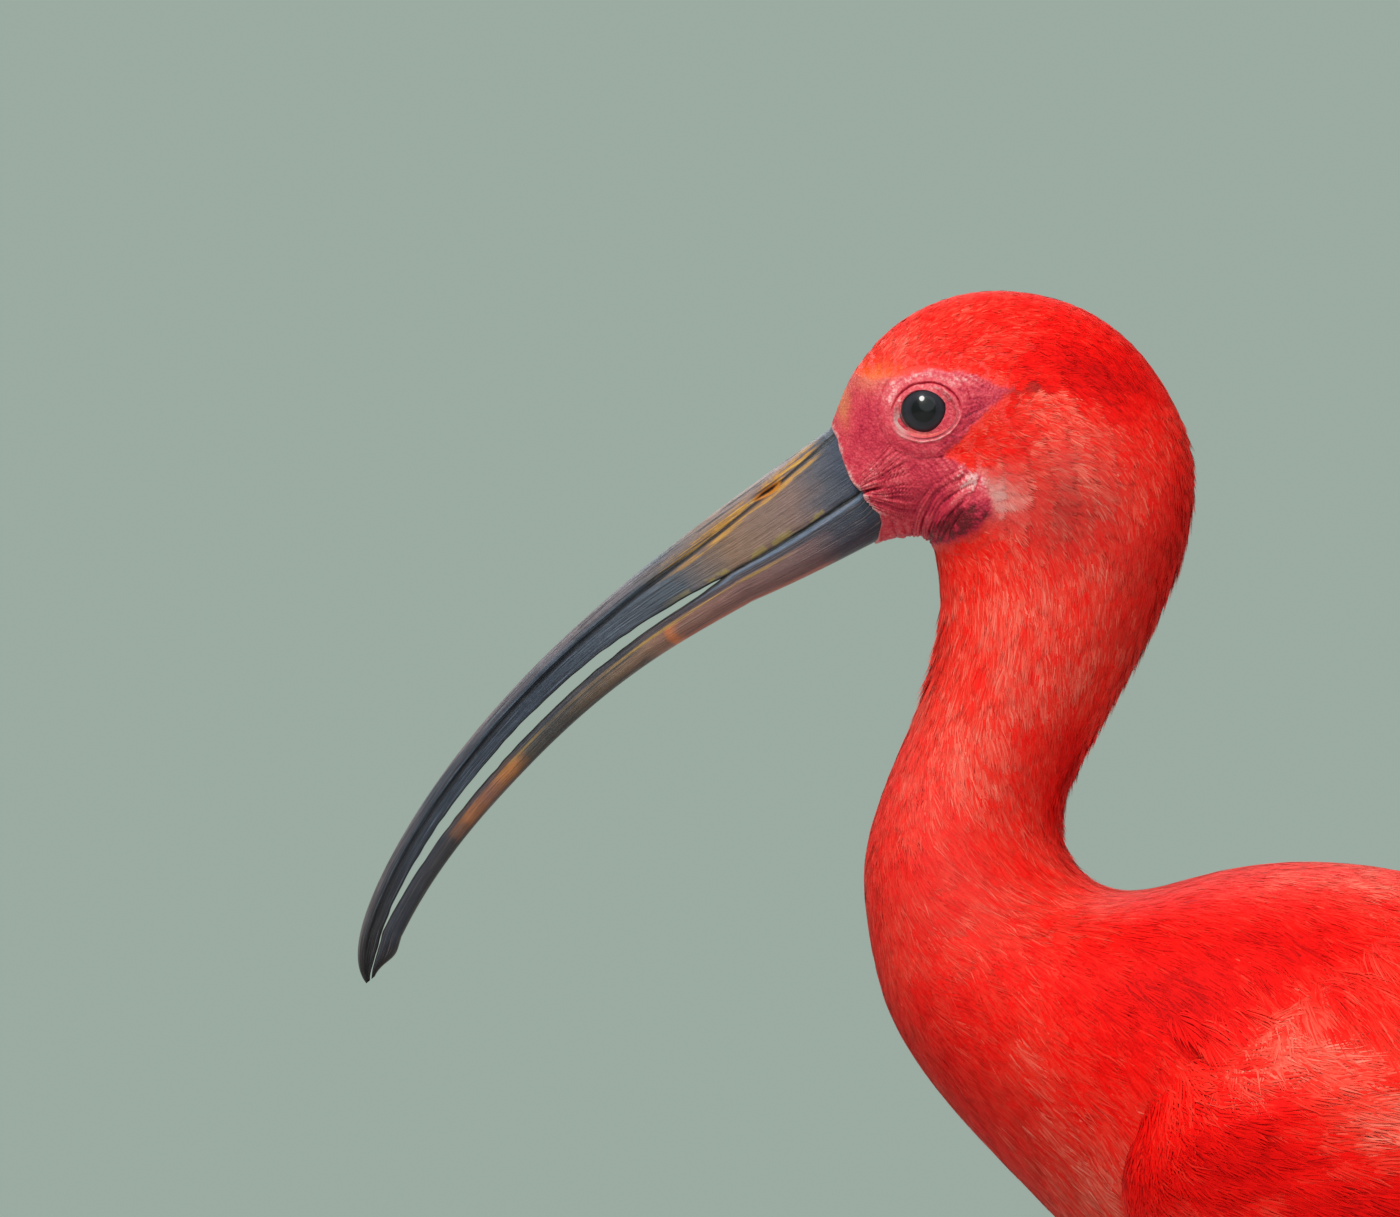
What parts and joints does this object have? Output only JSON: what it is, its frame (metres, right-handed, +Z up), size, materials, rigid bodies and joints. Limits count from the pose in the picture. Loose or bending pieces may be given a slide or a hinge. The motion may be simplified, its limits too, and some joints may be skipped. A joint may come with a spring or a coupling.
{
  "type": "scarlet ibis",
  "caption": "Life-size still model of a red wading bird with a long down-curved bill, standing on its own feet.",
  "frame": {"origin": "on the floor, under the middle of the whole bird, with the soles on z = 0", "axes": "the bird faces -X, so +X runs from bill to tail; its left side is at -Y; +Z is up"},
  "size_m": [0.393, 0.121, 0.3756],
  "materials": {
    "red_plumage": "soft scarlet feathers, matt with a slight sheen",
    "bare_skin": "bare crimson facial skin, finely wrinkled",
    "bill_horn": "slate grey horn, dull gloss",
    "lower_bill_horn": "brown to slate horn, dull gloss",
    "eye": "wet dark eye",
    "leg_skin": "scaled pink-red leg skin",
    "claw_horn": "black horn"
  },
  "bodies": {
    "root": {"head": "bare_skin", "bill_upper": "bill_horn", "bill_lower": "lower_bill_horn", "neck_upper": "red_plumage", "neck_lower": "red_plumage", "torso": "red_plumage", "tail": "red_plumage", "eye_left": "eye", "wing_left": "red_plumage", "thigh_left": "red_plumage", "shank_left": "leg_skin", "tarsus_left": "leg_skin", "foot_left": "leg_skin", "claw_left_middle": "claw_horn", "claw_left_inner": "claw_horn", "claw_left_outer": "claw_horn", "claw_left_hind": "claw_horn", "eye_right": "eye", "wing_right": "red_plumage", "thigh_right": "red_plumage", "shank_right": "leg_skin", "tarsus_right": "leg_skin", "foot_right": "leg_skin", "claw_right_middle": "claw_horn", "claw_right_inner": "claw_horn", "claw_right_outer": "claw_horn", "claw_right_hind": "claw_horn"}
  },
  "joints": []
}
